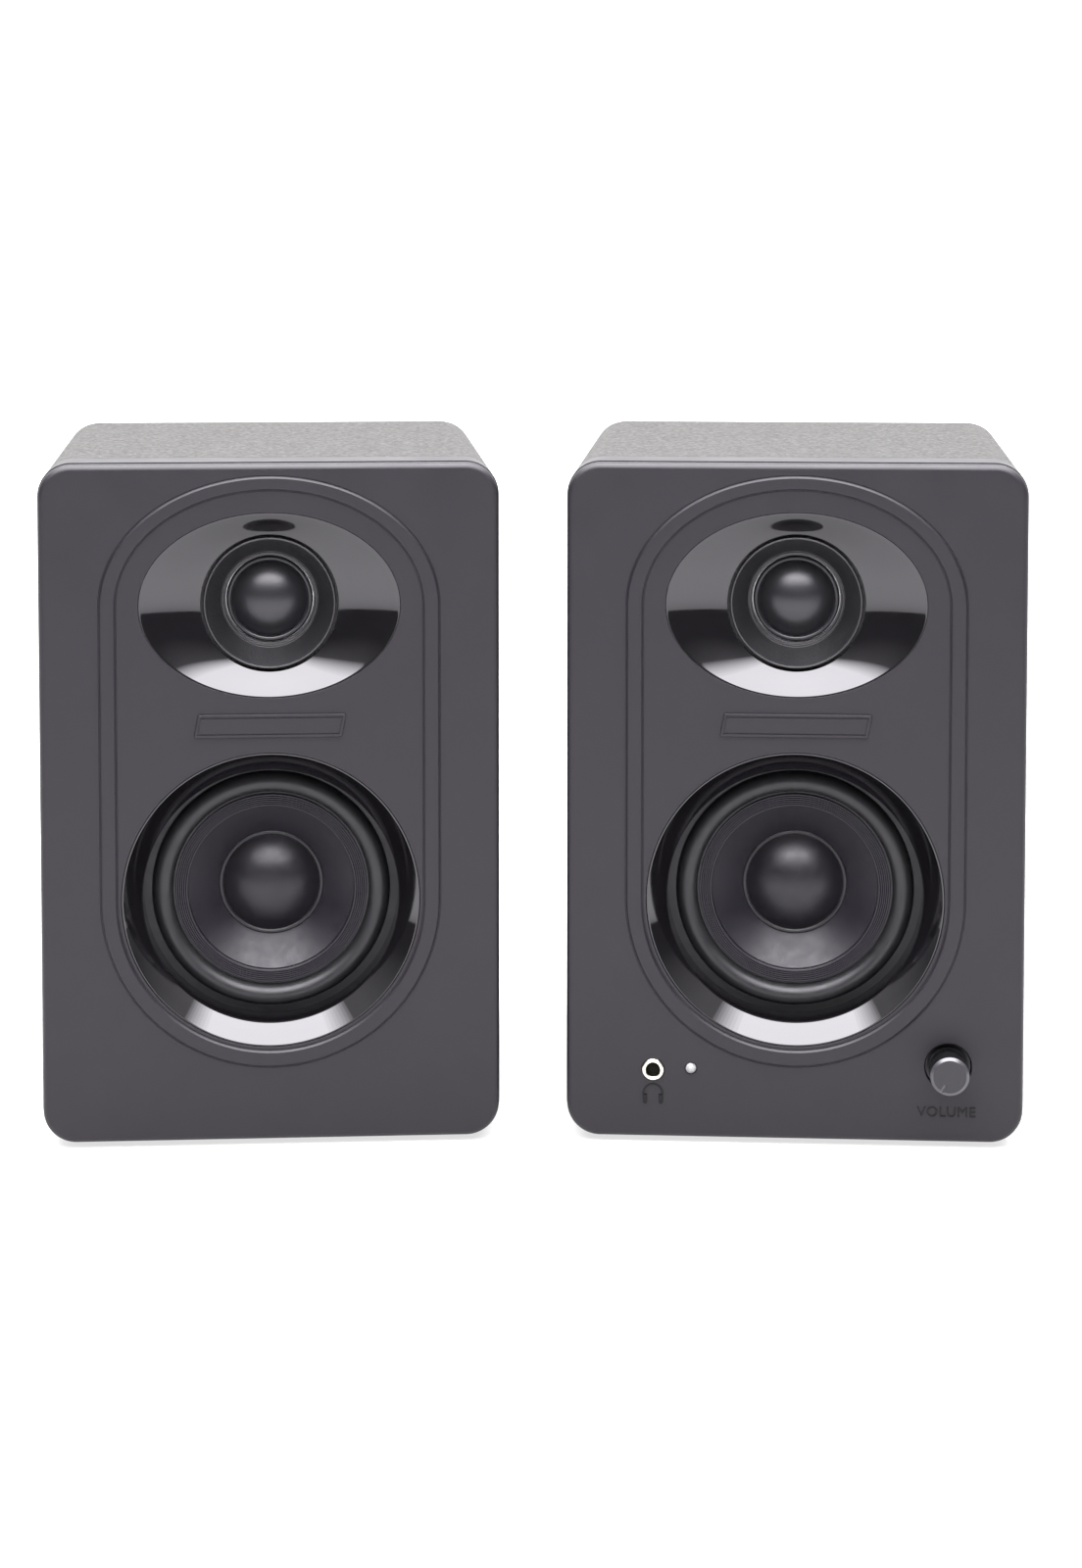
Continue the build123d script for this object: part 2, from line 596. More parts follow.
def make_spider():
    """The corrugated cloth disc that centres the voice coil."""
    base_y = LEDGE_Y - GAP - SPIDER_T
    step = (SPIDER_END_R - SPIDER_START_R) / (2 * SPIDER_WAVES)
    tops = [
        (SPIDER_START_R + i * step, base_y - (i % 2) * SPIDER_WAVE_DEPTH)
        for i in range(2 * SPIDER_WAVES + 1)
    ]
    upper = [(COIL_R + FORMER_T, base_y)] + tops + [(SPIDER_R, base_y)]
    lower = [(r, y + SPIDER_T) for r, y in reversed(upper)]
    return turned(upper + lower, 0, WOOFER_Z)


TOP_PLATE_Y = BASKET_END + GAP
MAGNET_Y = TOP_PLATE_Y + MOTOR_PLATE_T + GAP
YOKE_Y = MAGNET_Y + MAGNET_T + GAP


def make_pole_pieces():
    """The woofer's steel top plate and the back plate with its pole, as two solids."""
    top_plate = ring(PLATE_R, COIL_R + POLE_GAP, TOP_PLATE_Y, TOP_PLATE_Y + MOTOR_PLATE_T)
    yoke = post(PLATE_R, YOKE_Y, YOKE_Y + MOTOR_PLATE_T)
    yoke = chamfer(back_edges(yoke), YOKE_EDGE)
    yoke += post(POLE_R, TOP_PLATE_Y, YOKE_Y)
    return [Pos(0, 0, WOOFER_Z) * s for s in (top_plate, yoke)]


def make_magnet():
    """The woofer's ferrite ring magnet."""
    magnet = ring(MAGNET_R, MAGNET_BORE_R, MAGNET_Y, MAGNET_Y + MAGNET_T)
    outer = magnet.edges().filter_by(GeomType.CIRCLE).filter_by(lambda e: e.radius > MAGNET_BORE_R)
    return Pos(0, 0, WOOFER_Z) * chamfer(outer, MAGNET_EDGE)


# ---------------------------------------------------------------- spring-clip terminals
CUP_W, CUP_H = 50.0, 32.0
CUP_FLANGE_T = 1.6
CUP_BODY_W, CUP_BODY_H = 40.0, 25.0
CUP_BODY_DEPTH = 13.0
CUP_SCREW_X = 22.3
LEVER_X = 9.5
LEVER_W = 12.0
LEVER_PIVOT_Z = 1.6
LEVER_PIVOT_BACK = 1.5  # pivot's distance under the cup's outer face
LEVER_PIN_R = 0.8
POCKET_W = 12.4
POCKET_LOW, POCKET_HIGH = -0.4, 10.4
WIRE_HOLE_R = 1.7
WIRE_HOLE_Z = -6.0
WIRE_HOLE_DEPTH = 9.0
WIRE_MOUTH_R, WIRE_MOUTH_DEPTH = 2.6, 1.0
POCKET_DEPTH = 9.5
LEVER_PIN_OVER = 2.2  # how much longer the pin is than the lever is wide
PIN_PLAY = 0.07  # radial, round a pin that turns in its hole
PIN_END_PLAY = 0.4
CUP_CORNER_R, CUP_EDGE = 2.5, 0.5
CUP_SCREW_HOLE_R = 1.25
CUP_SCREW_HEAD_R, CUP_SCREW_HEAD_H = 2.1, 1.3
CUP_SCREW_L = 6.0
CUP_SCREW_EDGE_R = 0.6
CUP_CROSS_L, CUP_CROSS_W, CUP_CROSS_DEPTH = 2.6, 0.6, 0.7
LEVER_SIDE = [
    (-4.4, 2.4), (-3.6, 9.2), (-2.6, 9.9), (1.5, 9.9), (1.9, 9.4), (0.3, 2.2), (-1.0, 0.5), (-2.8, 0.4)
]
LEVER_RIDGES = [(1.1, 5.2), (1.26, 6.5), (1.42, 7.8)]  # grip ridges on its outer face
LEVER_RIDGE_R, LEVER_RIDGE_L = 0.35, 10.0


def make_terminal_cup():
    """The terminal housing, drawn with its outer face at y = 0 and its centre at z = 0."""
    flange = block(CUP_W, CUP_H, -CUP_FLANGE_T, 0, corner=CUP_CORNER_R)
    flange = chamfer(back_edges(flange), CUP_EDGE)
    body = flange + block(CUP_BODY_W, CUP_BODY_H, -CUP_BODY_DEPTH, -CUP_FLANGE_T)
    for x in (-LEVER_X, LEVER_X):
        middle = (POCKET_LOW + POCKET_HIGH) / 2
        body -= block(POCKET_W, POCKET_HIGH - POCKET_LOW, -POCKET_DEPTH, 0, x, middle)
        pin_hole = crosswise(LEVER_PIN_R + PIN_PLAY, LEVER_W + LEVER_PIN_OVER + PIN_END_PLAY)
        body -= Pos(x, -LEVER_PIVOT_BACK, LEVER_PIVOT_Z) * pin_hole
        body -= post(WIRE_HOLE_R, -WIRE_HOLE_DEPTH, 0, x, WIRE_HOLE_Z)
        mouth = [(0, 0), (WIRE_MOUTH_R, 0), (WIRE_HOLE_R, -WIRE_MOUTH_DEPTH), (0, -WIRE_MOUTH_DEPTH)]
        body -= turned(mouth, x, WIRE_HOLE_Z)
    for x in (-CUP_SCREW_X, CUP_SCREW_X):
        body -= post(CUP_SCREW_HOLE_R, -CUP_FLANGE_T, 0, x)
    return body


def make_lever():
    """One wire-clamp lever on its pin, drawn like the cup with x = 0 at its own middle."""
    side = Polygon(*LEVER_SIDE, align=None)
    body = extrude(SIDE_VIEW * side, amount=LEVER_W / 2, both=True)
    for y, z in LEVER_RIDGES:
        body += Pos(0, y, z) * crosswise(LEVER_RIDGE_R, LEVER_RIDGE_L)
    pin = crosswise(LEVER_PIN_R, LEVER_W + LEVER_PIN_OVER)
    return body + Pos(0, -LEVER_PIVOT_BACK, LEVER_PIVOT_Z) * pin


def cup_screws(x, y, z):
    """The two small screws in a terminal cup's flange, at a cup placed at (x, y, z)."""
    found = []
    for s in (-1, 1):
        place_x = x + s * CUP_SCREW_X
        seat, top = y + GAP / 2, y + CUP_SCREW_HEAD_H
        head = fillet(back_edges(post(CUP_SCREW_HEAD_R, seat, top, place_x, z)), CUP_SCREW_EDGE_R)
        for width, height in ((CUP_CROSS_L, CUP_CROSS_W), (CUP_CROSS_W, CUP_CROSS_L)):
            head -= block(width, height, top - CUP_CROSS_DEPTH, top, place_x, z)
        found.append(head + post(CUP_SCREW_HOLE_R - GAP / 2, y - CUP_SCREW_L, seat, place_x, z))
    return found


# ---------------------------------------------------------------- front controls
KNOB_RECESS_R = 6.75
KNOB_RECESS = 2.0
KNOB_BASE_R, KNOB_TIP_R = 5.8, 5.65
KNOB_BACK, KNOB_FRONT = 0.8, -11.6
KNOB_BORE, KNOB_BORE_END = 3.05, -9.0
KNOB_BEVEL_W, KNOB_BEVEL_H = 0.9, 0.7
NOTCH_W, NOTCH_L, NOTCH_DEPTH = 0.9, 3.4, 0.6
NOTCH_OUT = 4.35  # from the knob's axis to the middle of its pointer notch
SHAFT_R = 3.0
SHAFT_FRONT, SHAFT_BACK, WIPER_BACK = -8.8, 10.2, 11.4
WIPER_R = 3.9
FLAT_BACK, FLAT_CUT = -1.5, 0.6
WIPER_PLAY, WIPER_PLAY_FRONT, WIPER_PLAY_BACK = 0.3, 0.2, 0.4
BUSHING_R = 3.6
CAN_W, CAN_H, CAN_FRONT = 10.0, 11.0, 9.4
TURNING_FIT = 0.06
POINTER_ANGLE = 209.0  # clockwise from twelve o'clock as the listener sees it: fully down
JACK_NOSE_R = 3.2
JACK_BORE_R = 1.8
JACK_BORE_END = 14.0
JACK_FRONT, JACK_BODY_Y = -0.5, 4.4
JACK_BODY_W, JACK_BODY_H = 11.5, 11.0
JACK_EDGE = 0.3
LENS_R, LENS_FLANGE_R = 1.55, 2.0
LENS_CROWN_R = 1.4
LENS_FRONT, LENS_FLANGE_Y, LENS_BACK = -1.2, 3.6, 4.8
LEAD_X, LEAD_R = 0.9, 0.3


def make_knob():
    """The smooth volume knob with its pointer notch at the fully-down position."""
    body = turned(
        [(0, KNOB_FRONT), (KNOB_TIP_R - KNOB_BEVEL_W, KNOB_FRONT), (KNOB_TIP_R, KNOB_FRONT + KNOB_BEVEL_H)]
        + [(KNOB_BASE_R, KNOB_BACK), (KNOB_BORE, KNOB_BACK), (KNOB_BORE, KNOB_BORE_END)]
        + [(0, KNOB_BORE_END)]
    )
    notch = block(NOTCH_W, NOTCH_L, KNOB_FRONT - PAST, KNOB_FRONT + NOTCH_DEPTH, 0, NOTCH_OUT)
    body -= Rot(0, POINTER_ANGLE, 0) * notch
    return Pos(KNOB_X, 0, KNOB_Z) * body


def make_shaft():
    """The volume control's shaft, with the flat that keys the knob and the wiper disc at its end."""
    body = post(SHAFT_R, SHAFT_FRONT, SHAFT_BACK)
    body -= block(2 * SHAFT_R, 2 * FLAT_CUT, SHAFT_FRONT, FLAT_BACK, 0, SHAFT_R)
    body += post(WIPER_R, SHAFT_BACK, WIPER_BACK)
    return Pos(KNOB_X, 0, KNOB_Z) * body


def make_volume_control():
    """The potentiometer's bushing and can, fixed on the control board."""
    bore_r = SHAFT_R + TURNING_FIT
    bushing = ring(BUSHING_R, bore_r, BAFFLE_WALL + GAP, CAN_FRONT)
    can = block(CAN_W, CAN_H, CAN_FRONT, CONTROL_BOARD_Y - GAP)
    can -= post(bore_r, CAN_FRONT, SHAFT_BACK)
    can -= post(WIPER_R + WIPER_PLAY, SHAFT_BACK - WIPER_PLAY_FRONT, WIPER_BACK + WIPER_PLAY_BACK)
    return Pos(KNOB_X, 0, KNOB_Z) * (bushing + can)


def make_headphone_jack():
    """The 3.5 mm headphone socket: a plated nose on a moulded body."""
    nose = ring(JACK_NOSE_R, JACK_BORE_R, JACK_FRONT, JACK_BODY_Y)
    shell = block(JACK_BODY_W, JACK_BODY_H, JACK_BODY_Y, CONTROL_BOARD_Y - GAP)
    body = chamfer(front_edges(nose), JACK_EDGE) + shell
    body -= post(JACK_BORE_R, JACK_FRONT, JACK_BORE_END)
    return Pos(JACK_X, 0, JACK_Z) * body


def make_led():
    """The domed power lamp on its two leads."""
    lens = post(LENS_R, LENS_FRONT, LENS_FLANGE_Y)
    lens = fillet(front_edges(lens), LENS_CROWN_R)
    body = lens + post(LENS_FLANGE_R, LENS_FLANGE_Y, LENS_BACK)
    for x in (-LEAD_X, LEAD_X):
        body += post(LEAD_R, LENS_BACK, CONTROL_BOARD_Y - GAP, x)
    return Pos(LED_X, 0, LED_Z) * body


def make_control_board():
    """The small circuit board that the three front controls are soldered to."""
    back = CONTROL_BOARD_Y + BOARD_T
    return block(
        CONTROL_BOARD_W, CONTROL_BOARD_H, CONTROL_BOARD_Y, back, 0, CONTROL_BOARD_Z, BOARD_CORNER_R
    )


# ---------------------------------------------------------------- amplifier plate and what is on it
PLATE_SCREW_IN = 3.2  # from the plate's edges to its screws
PLATE_SCREW_HOLE_R = 1.5
CUP_ROOM = 0.6  # how much wider and higher a terminal cup's opening is than the cup's body
SOCKET_FRONT = AMP_BOARD_Y + BOARD_T + GAP  # where the sockets' bodies meet the amplifier board
RCA_R = 4.15
RCA_BORE_R = 1.65
RCA_LENGTH = 9.2
RCA_BODY = 12.0
RCA_NECK_R, RCA_HOLE_R = 4.3, 4.4
RCA_NUT_R, RCA_NUT_BORE_R, RCA_NUT_T = 6.0, 4.0, 1.2
RCA_BORE_IN = 1.0  # how far its contact hole reaches in past the plate
AUX_BODY_W, AUX_BODY_H = 11.0, 12.0
AUX_NOSE_R, AUX_NOSE_L, AUX_HOLE_R = 3.1, 1.4, 3.3
AUX_BORE_IN = 12.6
SWITCH_W, SWITCH_H = 13.0, 7.5
SLOT_W, SLOT_H, SLOT_DEPTH = 8.0, 4.0, 5.0
SLIDER_W, SLIDER_H = 3.6, 3.4
SLIDER_IN, SLIDER_OUT = 4.6, 2.4  # its reach in from the panel's face and out from the plate
SLIDER_GROOVE_W, SLIDER_GROOVE_DEPTH, SLIDER_GROOVE_STEP = 0.5, 0.5, 1.1
BASS_TRAVEL = 3.0
ROCKER_FACE = PLATE_OUT + 1.4
ROCKER_PIVOT_BACK = 4.2
ROCKER_TILT = 8.0  # degrees either side of level
ROCKER_BEZEL_W, ROCKER_BEZEL_H, ROCKER_CORNER_R = 15.4, 21.4, 1.2
ROCKER_BODY_W, ROCKER_BODY_H, ROCKER_BODY_Y = 13.0, 19.0, 153.0
ROCKER_WELL_W, ROCKER_WELL_H, ROCKER_WELL_Y = 10.6, 16.6, 158.0
ROCKER_W, ROCKER_PIN_R, ROCKER_PIN_L = 10.0, 1.0, 11.8
ROCKER_SIDE = [
    (4.6, 7.0), (5.9, 6.4), (4.3, 0), (5.9, -6.4), (4.6, -7.0), (-1.5, -5.5), (-3.0, 0), (-1.5, 5.5)
]
INLET_W, INLET_H = 30.0, 20.0
INLET_CORNER_R, INLET_EDGE = 2.0, 0.5
INLET_FACE = PLATE_OUT + 1.8
INLET_BODY_W, INLET_BODY_H, INLET_BODY_Y = 23.6, 13.6, 152.0
INLET_RECESS_W, INLET_RECESS_H = 15.6, 8.8
INLET_RECESS_DEPTH = 11.0
INLET_PIN_X, INLET_PIN_R = 4.3, 1.2
INLET_PIN_IN, INLET_PIN_OUT = 3.0, 8.5  # its reach below and above the recess's floor
INLET_PIN_EDGE_R = 0.6
OPENING_ROOM = 0.4  # how much wider and higher an opening in the plate is than what goes through it


def plate_screw_places():
    """(x, z) of the six screws round the amplifier plate."""
    x, z = PLATE_W / 2 - PLATE_SCREW_IN, PLATE_H / 2 - PLATE_SCREW_IN
    return [(sx * x, PLATE_Z + k * z) for sx in (-1, 1) for k in (-1, 0, 1)]


def make_amplifier_plate():
    """The aluminium plate that closes the right speaker's back and carries its sockets."""
    body = block(PLATE_W, PLATE_H, DEPTH + GAP, PLATE_OUT, 0, PLATE_Z, PLATE_CORNER_R)
    body = chamfer(back_edges(body), PLATE_EDGE)
    holes = [(x, INPUT_Z, RCA_HOLE_R) for x in RCA_X]
    holes.append((AUX_X, INPUT_Z, AUX_HOLE_R))
    holes += [(x, z, PLATE_SCREW_HOLE_R) for x, z in plate_screw_places()]
    holes += [(RIGHT_CUP_X + s * CUP_SCREW_X, RIGHT_CUP_Z, CUP_SCREW_HOLE_R) for s in (-1, 1)]
    for x, z, radius in holes:
        body -= post(radius, DEPTH, PLATE_OUT, x, z)
    openings = (
        (BASS_X, INPUT_Z, SLOT_W, SLOT_H),
        (RIGHT_CUP_X, RIGHT_CUP_Z, CUP_BODY_W + CUP_ROOM, CUP_BODY_H + CUP_ROOM),
        (INLET_X, INLET_Z, INLET_BODY_W + OPENING_ROOM, INLET_BODY_H + OPENING_ROOM),
        (ROCKER_X, ROCKER_Z, ROCKER_BODY_W + OPENING_ROOM, ROCKER_BODY_H + OPENING_ROOM),
    )
    for x, z, width, height in openings:
        body -= block(width, height, DEPTH, PLATE_OUT, x, z)
    return body


def make_plate_screws():
    """The six screws of the amplifier plate."""
    seat = PLATE_OUT + GAP / 2
    return [pan_screw(x, z, seat, PLATE_SCREW_L) for x, z in plate_screw_places()]


def make_rca_jack(x):
    """One phono socket: a barrel with a centre contact hole, on a square moulded body."""
    body = block(RCA_BODY, RCA_BODY, SOCKET_FRONT, DEPTH, x, INPUT_Z)
    body += post(RCA_NECK_R, DEPTH, PLATE_OUT, x, INPUT_Z)
    barrel = post(RCA_R, PLATE_OUT, PLATE_OUT + RCA_LENGTH, x, INPUT_Z)
    body += chamfer(back_edges(barrel), PLATE_EDGE)
    body += ring(RCA_NUT_R, RCA_NUT_BORE_R, PLATE_OUT + GAP, PLATE_OUT + RCA_NUT_T, x, INPUT_Z)
    return body - post(RCA_BORE_R, PLATE_OUT - RCA_BORE_IN, PLATE_OUT + RCA_LENGTH, x, INPUT_Z)


def make_aux_jack():
    """The 3.5 mm input socket on the amplifier plate."""
    face = PLATE_OUT + AUX_NOSE_L
    body = block(AUX_BODY_W, AUX_BODY_H, SOCKET_FRONT, DEPTH, AUX_X, INPUT_Z)
    nose = post(AUX_NOSE_R, DEPTH, face, AUX_X, INPUT_Z)
    body += chamfer(back_edges(nose), PLATE_EDGE)
    return body - post(JACK_BORE_R, PLATE_OUT - AUX_BORE_IN, face, AUX_X, INPUT_Z)


def make_bass_switch():
    """The body of the bass boost slide switch, behind its slot in the plate."""
    body = block(SWITCH_W, SWITCH_H, SOCKET_FRONT, DEPTH - GAP, BASS_X, INPUT_Z)
    return body - block(SLOT_W, SLOT_H, DEPTH - SLOT_DEPTH, DEPTH, BASS_X, INPUT_Z)


def make_bass_slider():
    """The slide switch's lever, at its off end."""
    x, tip = BASS_X + BASS_TRAVEL / 2, PLATE_OUT + SLIDER_OUT
    body = block(SLIDER_W, SLIDER_H, DEPTH - SLIDER_IN, tip, x, INPUT_Z)
    for i in (-1, 0, 1):
        groove_x = x + i * SLIDER_GROOVE_STEP
        body -= block(SLIDER_GROOVE_W, SLIDER_H, tip - SLIDER_GROOVE_DEPTH, tip, groove_x, INPUT_Z)
    return body


def make_rocker_housing():
    """The power switch's frame and body, open towards the back for the rocker."""
    x, z, bezel_y = ROCKER_X, ROCKER_Z, PLATE_OUT + GAP
    bezel = block(ROCKER_BEZEL_W, ROCKER_BEZEL_H, bezel_y, ROCKER_FACE, x, z, ROCKER_CORNER_R)
    body = chamfer(back_edges(bezel), PLATE_EDGE)
    body += block(ROCKER_BODY_W, ROCKER_BODY_H, ROCKER_BODY_Y, bezel_y, x, z)
    body -= block(ROCKER_WELL_W, ROCKER_WELL_H, ROCKER_WELL_Y, ROCKER_FACE, x, z)
    pin_hole = crosswise(ROCKER_PIN_R + PIN_PLAY, ROCKER_PIN_L + PIN_END_PLAY)
    return body - Pos(x, ROCKER_FACE - ROCKER_PIVOT_BACK, z) * pin_hole


def make_rocker():
    """The power rocker on its pin, tipped to off. It is drawn level and then turned about the pin."""
    side = Polygon(*ROCKER_SIDE, align=None)
    body = extrude(SIDE_VIEW * side, amount=ROCKER_W / 2, both=True)
    body += crosswise(ROCKER_PIN_R, ROCKER_PIN_L)
    pivot = (ROCKER_X, ROCKER_FACE - ROCKER_PIVOT_BACK, ROCKER_Z)
    return Pos(*pivot) * Rot(-ROCKER_TILT, 0, 0) * body


def make_inlet():
    """The two-pin mains inlet with its pins, as three solids."""
    x, z, bezel_y = INLET_X, INLET_Z, PLATE_OUT + GAP
    floor_y = INLET_FACE - INLET_RECESS_DEPTH
    bezel = block(INLET_W, INLET_H, bezel_y, INLET_FACE, x, z, INLET_CORNER_R)
    body = chamfer(back_edges(bezel), INLET_EDGE)
    body += block(INLET_BODY_W, INLET_BODY_H, INLET_BODY_Y, bezel_y, x, z)
    body -= slab(Pos(x, z) * SlotOverall(INLET_RECESS_W, INLET_RECESS_H), floor_y, INLET_FACE)
    pins = []
    for pin_x in (x - INLET_PIN_X, x + INLET_PIN_X):
        body -= post(INLET_PIN_R, floor_y - INLET_PIN_IN, floor_y, pin_x, z)
        pin = post(INLET_PIN_R, floor_y - INLET_PIN_IN + GAP, floor_y + INLET_PIN_OUT, pin_x, z)
        pins.append(fillet(back_edges(pin), INLET_PIN_EDGE_R))
    return [body] + pins


def make_amplifier_board():
    """The amplifier's circuit board, parallel to the plate."""
    back = AMP_BOARD_Y + BOARD_T
    return block(AMP_BOARD_W, AMP_BOARD_H, AMP_BOARD_Y, back, 0, AMP_BOARD_Z, BOARD_CORNER_R)


SINK_X, SINK_Z = -20.0, 98.0
SINK_W, SINK_H = 38.0, 30.0
SINK_FRONT, SINK_BASE_Y = 126.0, 145.0  # tips of the fins and front of the base
FINS, FIN_T = 7, 1.6


def make_heat_sink():
    """The finned aluminium heat sink on the amplifier board."""
    body = block(SINK_W, SINK_H, SINK_BASE_Y, AMP_BOARD_Y - GAP, SINK_X, SINK_Z)
    step = (SINK_W - FIN_T) / (FINS - 1)
    for i in range(FINS):
        fin_x = SINK_X - (SINK_W - FIN_T) / 2 + i * step
        body += block(FIN_T, SINK_H, SINK_FRONT, SINK_BASE_Y, fin_x, SINK_Z)
    return body


CAN_R, CAN_TOP_Y, CAN_EDGE_R = 9.0, 118.0, 1.2
CAN_PLACES = ((22.0, 84.0), (22.0, 108.0))


def make_capacitors():
    """The two smoothing capacitors on the amplifier board."""
    cans = [post(CAN_R, CAN_TOP_Y, AMP_BOARD_Y - GAP, x, z) for x, z in CAN_PLACES]
    return [fillet(front_edges(can), CAN_EDGE_R) for can in cans]


CORE_Y = 118.0
CORE_W, CORE_T, CORE_H = 54.0, 20.0, 36.0
CORE_WINDOW_X, CORE_WINDOW_W, CORE_WINDOW_H = 13.5, 9.0, 24.0
TABS_W, TABS_T = 70.0, 1.5
BOBBIN_W, BOBBIN_D, BOBBIN_H, BOBBIN_CORNER_R = 35.0, 38.0, 23.8, 4.0
BOBBIN_ROOM = 0.2  # how much wider the bobbin's channels are than the laminations in them
BOBBIN_SIDE_X = 22.5


def make_transformer():
    """The mains transformer on the cabinet's floor: laminated core and wound bobbin, as two solids."""
    floor = FOOT_HEIGHT + SLEEVE_WALL + GAP
    middle = Pos(0, CORE_Y, floor + CORE_H / 2)
    core = middle * Box(CORE_W, CORE_T, CORE_H)
    core += Pos(0, CORE_Y, floor + TABS_T / 2) * Box(TABS_W, CORE_T, TABS_T)
    bobbin = middle * Box(BOBBIN_W, BOBBIN_D, BOBBIN_H)
    bobbin = fillet(bobbin.edges().filter_by(Axis.Z), BOBBIN_CORNER_R)
    leg_w, leg_t = 2 * CORE_WINDOW_X - CORE_WINDOW_W, CORE_T
    bobbin -= middle * Box(leg_w + BOBBIN_ROOM, leg_t + BOBBIN_ROOM, CORE_WINDOW_H)
    for s in (-1, 1):
        core -= middle * Pos(s * CORE_WINDOW_X, 0, 0) * Box(CORE_WINDOW_W, CORE_T, CORE_WINDOW_H)
        side = Box(CORE_WINDOW_W + BOBBIN_ROOM, CORE_T + BOBBIN_ROOM, CORE_WINDOW_H)
        bobbin -= middle * Pos(s * BOBBIN_SIDE_X, 0, 0) * side
    return [core, bobbin]


CROSSOVER_Y, CROSSOVER_Z = 110.0, 60.0
CROSSOVER_D, CROSSOVER_H = 44.0, 30.0
SPACER_Y, SPACER_R, SPACER_L = (93.0, 127.0), 3.0, 5.0
FILM_CAP_Y, FILM_CAP_R, FILM_CAP_L = 100.0, 4.0, 22.0
INDUCTOR_Y, INDUCTOR_R, INDUCTOR_BORE_R, INDUCTOR_L = 120.0, 8.0, 3.5, 8.0


def make_crossover():
    """The tweeter's crossover board on the sleeve's left wall, with its capacitor and its coil."""
    wall = -(WIDTH / 2 - SLEEVE_WALL) + GAP
    board = Box(BOARD_T, CROSSOVER_D, CROSSOVER_H)
    board = Pos(wall + SPACER_L + BOARD_T / 2, CROSSOVER_Y, CROSSOVER_Z) * board
    for y in SPACER_Y:
        board += Pos(wall + SPACER_L / 2, y, CROSSOVER_Z) * crosswise(SPACER_R, SPACER_L)
    top = wall + SPACER_L + BOARD_T + GAP
    capacitor = Pos(top + FILM_CAP_R, FILM_CAP_Y, CROSSOVER_Z) * Cylinder(FILM_CAP_R, FILM_CAP_L)
    coil = crosswise(INDUCTOR_R, INDUCTOR_L) - crosswise(INDUCTOR_BORE_R, INDUCTOR_L)
    return [board, capacitor, Pos(top + INDUCTOR_L / 2, INDUCTOR_Y, CROSSOVER_Z) * coil]


# ---------------------------------------------------------------- assembly
def place(side, shape):
    """Moves a shape, or a list of solids, from a speaker's own frame to its place in the pair."""
    if isinstance(shape, list):
        return [place(side, s) for s in shape]
    return Pos(side * CENTRE_SPACING / 2, 0, 0) * Rot(0, 0, -side * TOE_IN) * shape


def terminal_places():
    """{side: (x, y, z)} of each terminal cup's outer face: on the left panel and the right plate."""
    return {
        -1: (0.0, DEPTH + CUP_FLANGE_T + GAP, LEFT_CUP_Z),
        1: (RIGHT_CUP_X, PLATE_OUT + CUP_FLANGE_T + GAP, RIGHT_CUP_Z),
    }


def both(shape):
    """The same solid or solids in both speakers, as one flat list."""
    found = []
    for side in (-1, 1):
        placed = place(side, shape)
        found += placed if isinstance(placed, list) else [placed]
    return found


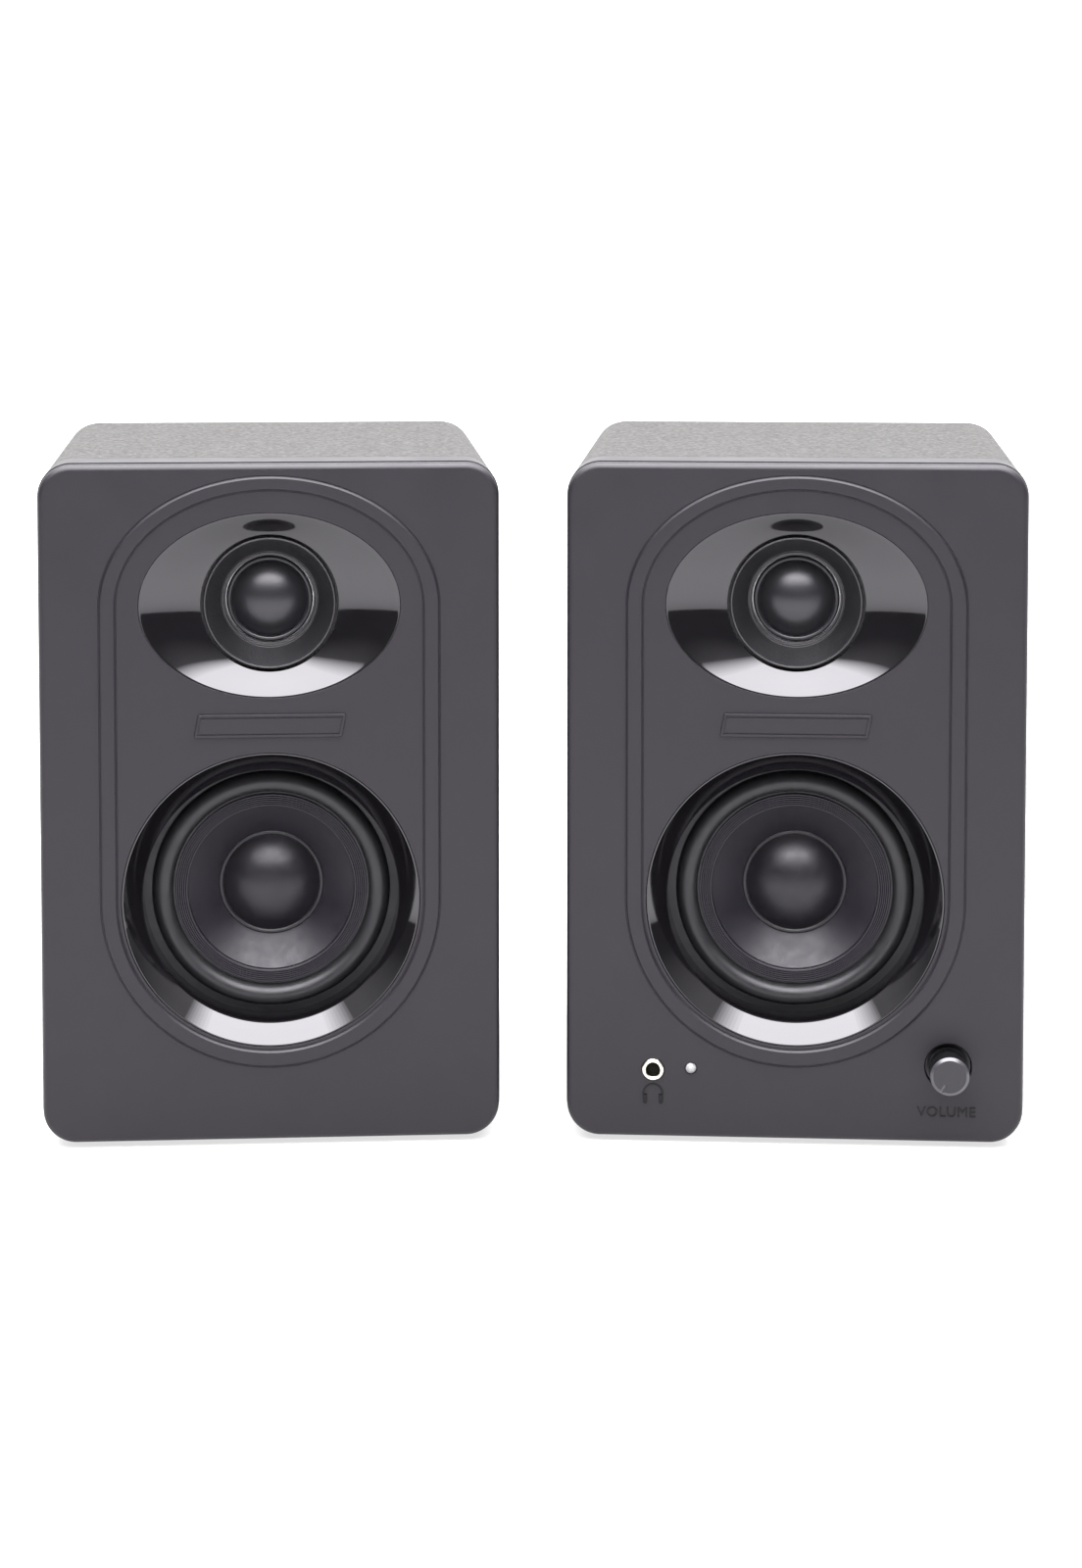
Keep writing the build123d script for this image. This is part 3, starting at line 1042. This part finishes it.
def make_pair():
    """{node name: list of solids} for the whole pair, before it is centred."""
    nodes = {}
    cups = terminal_places()
    cup_opening = Pos(0, LEFT_CUP_Z) * Rectangle(CUP_BODY_W + CUP_ROOM, CUP_BODY_H + CUP_ROOM)
    plate_opening = Pos(0, PLATE_Z) * RectangleRounded(
        PLATE_W - 2 * PLATE_OVERLAP, PLATE_H - 2 * PLATE_OVERLAP, OPENING_CORNER_R
    )
    repeated = {
        "cabinet_sleeve": make_sleeve(),
        "tweeter_waveguide": make_waveguide(),
        "tweeter_faceplate": make_faceplate(),
        "tweeter_dome": make_tweeter_dome(),
        "woofer_trim_ring": make_trim_ring(),
        "woofer_basket": make_basket(),
        "woofer_surround": make_surround(),
        "woofer_spider": make_spider(),
        "woofer_cone": make_cone(),
        "dust_cap": make_dust_cap(),
        "voice_coil": make_voice_coil(),
    }
    for side, name in ((-1, "left"), (1, "right")):
        x, y, z = cups[side]
        active = side == 1
        nodes[f"{name}_baffle"] = [place(side, make_baffle(active))]
        opening = plate_opening if active else cup_opening
        panel = make_rear_panel(opening)
        if active:
            for sx, sz in plate_screw_places():
                panel -= post(SCREW_R + GAP / 2, PANEL_Y, DEPTH, sx, sz)
        else:
            for s in (-1, 1):
                panel -= post(CUP_SCREW_HOLE_R, PANEL_Y, DEPTH, x + s * CUP_SCREW_X, z)
        nodes[f"{name}_rear_panel"] = [place(side, panel)]
        for part, shape in repeated.items():
            nodes[f"{name}_{part}"] = [place(side, shape)]
        for s, colour in ((-1, "red"), (1, "black")):
            lever = Pos(x + s * LEVER_X, y, z) * make_lever()
            nodes[f"{name}_terminal_lever_{colour}"] = [place(side, lever)]

    nodes["terminal_cups"] = [
        place(side, Pos(*cups[side]) * make_terminal_cup()) for side in (-1, 1)
    ]
    nodes["bass_ports"] = both([make_port()])
    nodes["rubber_feet"] = both(make_feet())
    nodes["damping_wadding"] = both(make_wadding())
    nodes["tweeter_motors"] = both(make_tweeter_motor())
    nodes["woofer_pole_pieces"] = both(make_pole_pieces())
    nodes["woofer_magnets"] = both([make_magnet()])
    nodes["driver_screws"] = both(make_driver_screws())
    nodes["rear_panel_screws"] = both([panel_screw(x, z) for x, z in panel_screw_places()])
    nodes["crossover_boards"] = both(make_crossover())
    nodes["terminal_screws"] = [s for side in (-1, 1) for s in place(side, cup_screws(*cups[side]))]

    right_only = {
        "volume_knob": make_knob(),
        "volume_shaft": make_shaft(),
        "volume_control": make_volume_control(),
        "headphone_jack": make_headphone_jack(),
        "power_lamp": make_led(),
        "control_board": make_control_board(),
        "amplifier_plate": make_amplifier_plate(),
        "amplifier_plate_screws": make_plate_screws(),
        "amplifier_board": make_amplifier_board(),
        "heat_sink": make_heat_sink(),
        "smoothing_capacitors": make_capacitors(),
        "power_transformer": make_transformer(),
        "phono_jacks": [make_rca_jack(x) for x in RCA_X],
        "aux_input_jack": make_aux_jack(),
        "bass_switch_body": make_bass_switch(),
        "bass_switch_slider": make_bass_slider(),
        "power_switch_housing": make_rocker_housing(),
        "power_rocker": make_rocker(),
        "mains_inlet": make_inlet(),
    }
    for node, shape in right_only.items():
        placed = place(1, shape)
        nodes[node] = placed if isinstance(placed, list) else [placed]
    return nodes


def centring(nodes):
    """The move that brings the middle of the pair's footprint to the origin."""
    box = Compound([s for solids in nodes.values() for s in solids]).bounding_box()
    middle = box.center()
    return Pos(-middle.X, -middle.Y, 0)


def main():
    nodes = make_pair()
    move = centring(nodes)
    os.makedirs("parts", exist_ok=True)
    for name, solids in nodes.items():
        shape = solids[0] if len(solids) == 1 else Compound(solids)
        export_step(move * shape, f"parts/{name}.step")
    print(len(nodes), "nodes; moved by", move.position)


if __name__ == "__main__":
    main()
